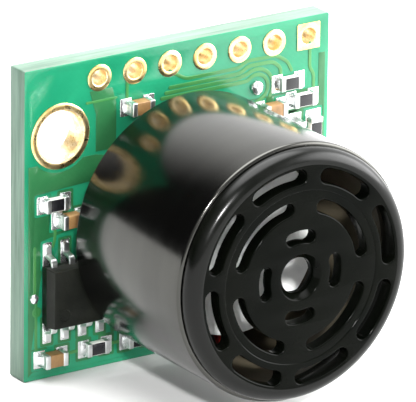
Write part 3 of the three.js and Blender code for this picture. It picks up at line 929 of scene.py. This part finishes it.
# slots in each ring, its radius, half a slot's width, half its angle and the ring's turn in degrees
SLOT_RINGS = [
    (4, 2.55, 0.40, 24.0, 0.0),
    (4, 4.47, 0.42, 34.5, 41.0),
    (8, 6.35, 0.48, 18.0, 15.0),
]


def slot_outline(radius, half_width, half_angle, turn):
    """A curved slot with round ends."""
    tip = math.degrees(half_width / radius)
    start, end = turn - half_angle + tip, turn + half_angle - tip

    def at(a):
        return radius * math.cos(math.radians(a)), radius * math.sin(math.radians(a))

    steps = max(6, int(half_angle / 2))
    outline = arc((0, 0), radius + half_width, start, end, steps)
    outline += arc(at(end), half_width, end, end + 180, 8)[1:-1]
    outline += arc((0, 0), radius - half_width, end, start, steps)
    outline += arc(at(start), half_width, start + 180, start + 360, 8)[1:-1]
    return outline


def slot_loops(wanted):
    """Every slot of the wanted rings."""
    loops = []
    for number in wanted:
        count, radius, half_width, half_angle, turn = SLOT_RINGS[number]
        for k in range(count):
            loops.append(slot_outline(radius, half_width, half_angle, turn + 360 * k / count))
    return loops


def build_grille():
    """The slotted face in two levels, its countersunk centre, and the turned shoulder round it."""
    face_r = CAP_R - CAP_ROUND
    back = CAP_FRONT - CAP_THICK
    shape = Shape()
    outer = [ring(0, 0, face_r + 0.02, 144), ring(0, 0, STEP_R, 144)] + slot_loops([2])
    shape.add(about_axis(slab(outer, back, CAP_FRONT, 0.1, 3)))
    level = CAP_FRONT - STEP_DOWN
    inner = [ring(0, 0, STEP_R + 0.12, 144), ring(0, 0, CENTRE_BEVEL, 72)] + slot_loops([0, 1])
    shape.add(about_axis(slab(inner, back + 0.01, level, 0.1, 3)))
    funnel = [(CENTRE_BEVEL + 0.14, level - 0.04), (CENTRE_BEVEL + 0.02, level - 0.03)]
    funnel += [(CENTRE_HOLE + 0.03, level - 0.36), (CENTRE_HOLE, level - 0.42), (CENTRE_HOLE, back + 0.04)]
    funnel += [(CENTRE_HOLE + 0.04, back), (CENTRE_BEVEL + 0.14, back + 0.02)]
    shape.add(about_axis(lathe(funnel, 72, closed=True)))
    spigot_r = CAN_BORE - SPIGOT_GAP
    shoulder = [(face_r - 0.14, CAP_FRONT - 0.12), (face_r - 0.08, CAP_FRONT - 0.012)]
    shoulder += arc((face_r, CAP_FRONT - CAP_ROUND), CAP_ROUND - 0.002, 91, 0, 16)
    shoulder += [(CAP_R - 0.002, CAN_FRONT + 0.06), (CAP_R - 0.04, CAN_FRONT + 0.02)]
    shoulder += [(spigot_r, CAN_FRONT + 0.02), (spigot_r, CAN_FRONT - SPIGOT_DEEP)]
    shoulder += [(spigot_r - SPIGOT_WALL, CAN_FRONT - SPIGOT_DEEP), (face_r - 0.14, back)]
    shape.add(about_axis(lathe(shoulder, 192, closed=True)), 1)
    make("front_grille_detail", shape, [CAP, CAP_SHOULDER], ["front_grille"], sharp=50)


def turned_piece(name, profile, look, segments=96, sharp=40):
    """A piece turned about the can's axis."""
    shape = Shape().add(about_axis(lathe(profile, segments)))
    make(name + "_detail", shape, [look], [name], sharp)


def soft_disc(radius, rear, front, rim):
    """Profile of a disc with rounded rims."""
    edge = [(0.0, rear), (radius - rim, rear)] + arc((radius - rim, rear + rim), rim, -90, 0, 3)[1:]
    return edge + arc((radius - rim, front - rim), rim, 0, 90, 3) + [(0.0, front)]


def build_cone():
    """A thin spun horn, slightly curved, with a rounded lip."""
    low, high = box_mm("resonator_cone")
    mouth = (high.x - low.x) / 2
    front, rear = FRONT - low.y, FRONT - high.y
    throat, wall, steps = 0.9, 0.25, 16
    cone = [(0.0, rear + wall), (throat - 0.2, rear + wall), (throat - 0.05, rear + wall + 0.05)]
    for i in range(1, steps + 1):
        t = i / steps
        cone.append((throat + (mouth - 0.06 - throat) * t, rear + wall + (front - rear - wall) * t ** 1.08))
    cone += [(mouth - 0.01, front - 0.03), (mouth, front - 0.1), (mouth - 0.1, front - 0.16)]
    for i in range(steps - 1, -1, -1):
        t = i / steps
        cone.append((throat + (mouth - 0.1 - throat) * t, rear + (front - rear - 0.2) * t ** 1.08))
    cone += [(0.0, rear)]
    turned_piece("resonator_cone", cone, SPUN, 128, 50)


def build_stack():
    """The diaphragm plate, the piezo disc and the ring that holds them."""
    for name, look, slot, rim in (("diaphragm_plate", BRASS, "brass", 0.05),
                                  ("piezo_disc", CERAMIC, "piezo_ceramic", 0.04)):
        low, high = box_mm(name)
        profile = soft_disc((high.x - low.x) / 2, FRONT - high.y, FRONT - low.y, rim)
        turned_piece(name, profile, look)
    low, high = box_mm("nodal_support_ring")
    outer, rear, front = (high.x - low.x) / 2, FRONT - high.y, FRONT - low.y
    mid, half = outer - 0.35, (front - rear) / 2
    profile = [(mid + (outer - mid) * math.cos(a), rear + half + half * math.sin(a))
               for a in (2 * math.pi * k / 20 for k in range(20))]
    shape = Shape().add(about_axis(lathe(profile, 96, closed=True)))
    make("nodal_support_ring_detail", shape, [SILICONE], ["nodal_support_ring"], sharp=60)


SEAT_IN = 3.0
SEAT_OUT = 4.2
SEAT_HIGH = 0.25
PIN_BORE = 0.43


def build_base():
    """The round base as a plate with two pin bores, with a raised seat for the support ring."""
    low, high = box_mm("transducer_base")
    radius, rear, front = (high.x - low.x) / 2, FRONT - high.y, FRONT - low.y - SEAT_HIGH
    loops = [ring(0, 0, radius, 144)]
    for name in PINS:
        spot = middle(name) - AXIS
        loops.append(ring(spot.x, spot.z, PIN_BORE, 32))
    shape = Shape().add(about_axis(slab(loops, rear, front, 0.06, 2)))
    rise = [(SEAT_IN, front - 0.02), (SEAT_OUT, front - 0.02)]
    rise += [(SEAT_OUT - 0.02, front + SEAT_HIGH - 0.05), (SEAT_OUT - 0.07, front + SEAT_HIGH)]
    rise += [(SEAT_IN + 0.07, front + SEAT_HIGH), (SEAT_IN + 0.02, front + SEAT_HIGH - 0.05)]
    shape.add(about_axis(lathe(rise, 96, closed=True)))
    make("transducer_base_detail", shape, [PHENOLIC], ["transducer_base"], sharp=40)


PIN_R = 0.4
COLLAR_FRONT = 2.2
COLLAR_THICK = 0.25
JOINT_BORE = 0.41


def build_terminals():
    """Each collared pin through the base and board, and the solder cone round its end on the back."""
    for name in PINS:
        low, high = box_mm(name)
        front, rear = FRONT - low.y, FRONT - high.y
        collar = (high.x - low.x) / 2
        profile = [(0.0, rear), (PIN_R - 0.16, rear), (PIN_R - 0.05, rear + 0.05), (PIN_R, rear + 0.16)]
        profile += [(PIN_R, COLLAR_FRONT - COLLAR_THICK), (collar - 0.06, COLLAR_FRONT - COLLAR_THICK)]
        profile += arc((collar - 0.08, COLLAR_FRONT - 0.08), 0.08, 0, 90, 3)
        profile += [(PIN_R, COLLAR_FRONT), (PIN_R, front - 0.12), (PIN_R - 0.04, front - 0.04)]
        profile += [(PIN_R - 0.12, front), (0.0, front)]
        right, up = flat(middle(name))
        part = on_board(lathe(profile, 40), "front", right, up)
        make(name + "_detail", Shape().add(part), [TIN], [name], sharp=40)
        joint = name.replace("pin", "solder_joint")
        low, high = box_mm(joint)
        radius, tall = (high.x - low.x) / 2, high.y - low.y
        slope = [(JOINT_BORE + (radius - JOINT_BORE) * (1 - k / 12) ** 2.1, tall * (k / 12) ** 0.8)
                 for k in range(13)]
        right, up = flat(middle(joint))
        cone = lathe([(JOINT_BORE, 0.0)] + slope, 48, closed=True)
        part = on_board(cone, "back", -right, up, low.y - BACK)
        make(joint + "_detail", Shape().add(part), [SOLDER], [joint], sharp=50)


# routes of the two lead wires, from the transducer's axis at the board's front face
RED_ROUTE = [(0.2, -4.25, -5.45), (0.4, -4.35, -6.4), (0.3, -4.95, -6.95), (0.0, -5.65, -6.6),
             (-0.2, -5.65, -5.8), (-0.2, -5.5, -5.3)]
PLAIN_ROUTE = [(0.15, -4.1, 5.1), (-0.1, -4.2, 5.5), (-0.5, -4.1, 5.6), (-0.8, -3.85, 5.2),
               (-0.7, -3.8, 4.6)]


def build_wires():
    for name, route, radius, look, slot in (
        ("lead_wire_red", RED_ROUTE, 0.27, RED, "red_insulation"),
        ("lead_wire_plain", PLAIN_ROUTE, 0.125, TIN, "tinned_metal"),
    ):
        line = smooth_line([(x, z, -y) for x, y, z in route], 10)
        shape = Shape().add(about_axis(tube(line, radius, 20)))
        make(name + "_detail", shape, [look], [name], sharp=60)


def build_sensor():
    build_board()
    build_holes()
    place_chip_pads()
    place_lead_pads()
    build_copper("front", FRONT_POURS, FRONT_TRACES)
    build_copper("back", BACK_POURS, BACK_TRACES)
    build_pads("front")
    build_pads("back")
    for name in CHIPS:
        build_chip(name)
    for package in PACKAGES:
        build_package(*package)
    build_bumps()
    build_can()
    build_grille()
    build_cone()
    build_stack()
    build_base()
    build_terminals()
    build_wires()


build_sensor()


# ---- studio: floor, light all round, camera ----

FLOOR_PROFILE = [(0.0, 0.0), (800.0, 0.0), (1600.0, 4.0), (2300.0, 25.0), (3000.0, 110.0)]
FLOOR_GAP = 0.02


def build_floor():
    """A wide pale disc whose far rim turns up a little, so that it closes the horizon."""
    verts, faces = lathe(FLOOR_PROFILE, 96)
    mesh = bpy.data.meshes.new("floor")
    mesh.from_pydata([Vector(v) * MM for v in verts], [], faces)
    mesh.polygons.foreach_set("use_smooth", [True] * len(mesh.polygons))
    floor = bpy.data.objects.new("floor", mesh)
    bpy.context.scene.collection.objects.link(floor)
    floor.location.z = cad_low.z - FLOOR_GAP * MM
    mesh.materials.append(surface("pale_floor", (0.66, 0.66, 0.655), (0.7, 0.7, 0.695), 0.7, 3))


SNOOT_FROM = (-0.40, -0.76, 0.50)
SNOOT_FAR = 160.0
SNOOT_POWER = 5.0
SNOOT_SIZE = 12.0


def build_snoot():
    """A narrow beam that falls through the grille's slots onto the cone."""
    data = bpy.data.lights.new("snoot", "SPOT")
    data.energy = SNOOT_POWER
    data.spot_size = 2 * math.atan(CAP_R / SNOOT_FAR)
    data.spot_blend = 0.25
    data.shadow_soft_size = SNOOT_SIZE * MM
    lamp = bpy.data.objects.new("snoot", data)
    bpy.context.scene.collection.objects.link(lamp)
    towards = Vector(SNOOT_FROM).normalized()
    grille = Vector((AXIS.x, CAP_LOW.y, AXIS.z))
    lamp.location = (grille + towards * SNOOT_FAR) * MM
    lamp.rotation_euler = towards.to_track_quat("Z", "Y").to_euler()


# direction, where the glow starts and ends as a cosine, strength: overhead softbox, key at the
# right, light behind the right side, a rim of the key, fill from the front left, and dim air
PANELS = [
    ((0.05, 0.12, 0.99), 0.80, 0.95, 12.0),
    ((0.88, -0.40, 0.30), 0.82, 0.97, 14.0),
    ((0.75, 0.62, 0.15), 0.25, 0.80, 3.0),
    ((0.90, -0.35, 0.25), 0.60, 0.90, 0.8),
    ((-0.35, -0.90, 0.35), 0.2, 0.9, 0.8),
    ((0.0, 0.0, 1.0), -1.0, 1.0, 0.08),
]


def build_world():
    """Soft light all round, as panels that fade out at their edges."""
    world = bpy.data.worlds.new("studio")
    bpy.context.scene.world = world
    world.use_nodes = True
    tree = world.node_tree
    tree.nodes.clear()
    place = tree.nodes.new("ShaderNodeTexCoord")
    total = None
    for direction, start, end, strength in PANELS:
        aim = tree.nodes.new("ShaderNodeVectorMath")
        aim.operation = "DOT_PRODUCT"
        aim.inputs[1].default_value = Vector(direction).normalized()
        tree.links.new(place.outputs["Generated"], aim.inputs[0])
        glow = tree.nodes.new("ShaderNodeMapRange")
        glow.interpolation_type = "SMOOTHSTEP"
        glow.inputs["From Min"].default_value = start
        glow.inputs["From Max"].default_value = end
        glow.inputs["To Max"].default_value = strength
        tree.links.new(aim.outputs["Value"], glow.inputs["Value"])
        if total is None:
            total = glow.outputs["Result"]
            continue
        add = tree.nodes.new("ShaderNodeMath")
        add.operation = "ADD"
        tree.links.new(total, add.inputs[0])
        tree.links.new(glow.outputs["Result"], add.inputs[1])
        total = add.outputs["Value"]
    back = tree.nodes.new("ShaderNodeBackground")
    back.inputs["Color"].default_value = (1, 1, 1, 1)
    out = tree.nodes.new("ShaderNodeOutputWorld")
    tree.links.new(total, back.inputs["Strength"])
    tree.links.new(back.outputs["Background"], out.inputs["Surface"])


# angles in degrees, lengths in millimetres, target from the middle of the board's front face
AZIMUTH = -33.8
ELEVATION = 19.62
ROLL = 0.67
DISTANCE = 454.0
LENS = 641.4
TARGET = Vector((2.261, 0.0, -0.717))


def build_camera():
    """A long lens from the left of the front and a little above it."""
    data = bpy.data.cameras.new("camera")
    data.sensor_width = 36.0
    data.lens = LENS
    data.clip_start = 0.01
    data.clip_end = 10.0
    camera = bpy.data.objects.new("camera", data)
    bpy.context.scene.collection.objects.link(camera)
    a, e, r = (math.radians(v) for v in (AZIMUTH, ELEVATION, ROLL))
    back = Vector((math.sin(a) * math.cos(e), -math.cos(a) * math.cos(e), math.sin(e)))
    right = Vector((math.cos(a), math.sin(a), 0.0))
    up = back.cross(right)
    tilted = right * math.cos(r) + up * math.sin(r)
    upright = back.cross(tilted)
    aim = Vector((BOARD_MID.x, FRONT, BOARD_MID.z)) + TARGET
    turn = Matrix((tilted, upright, back)).transposed().to_4x4()
    camera.matrix_world = Matrix.Translation((aim + back * DISTANCE) * MM) @ turn
    bpy.context.scene.camera = camera


build_floor()
build_world()
build_snoot()
build_camera()
bpy.context.scene.view_settings.view_transform = "Standard"
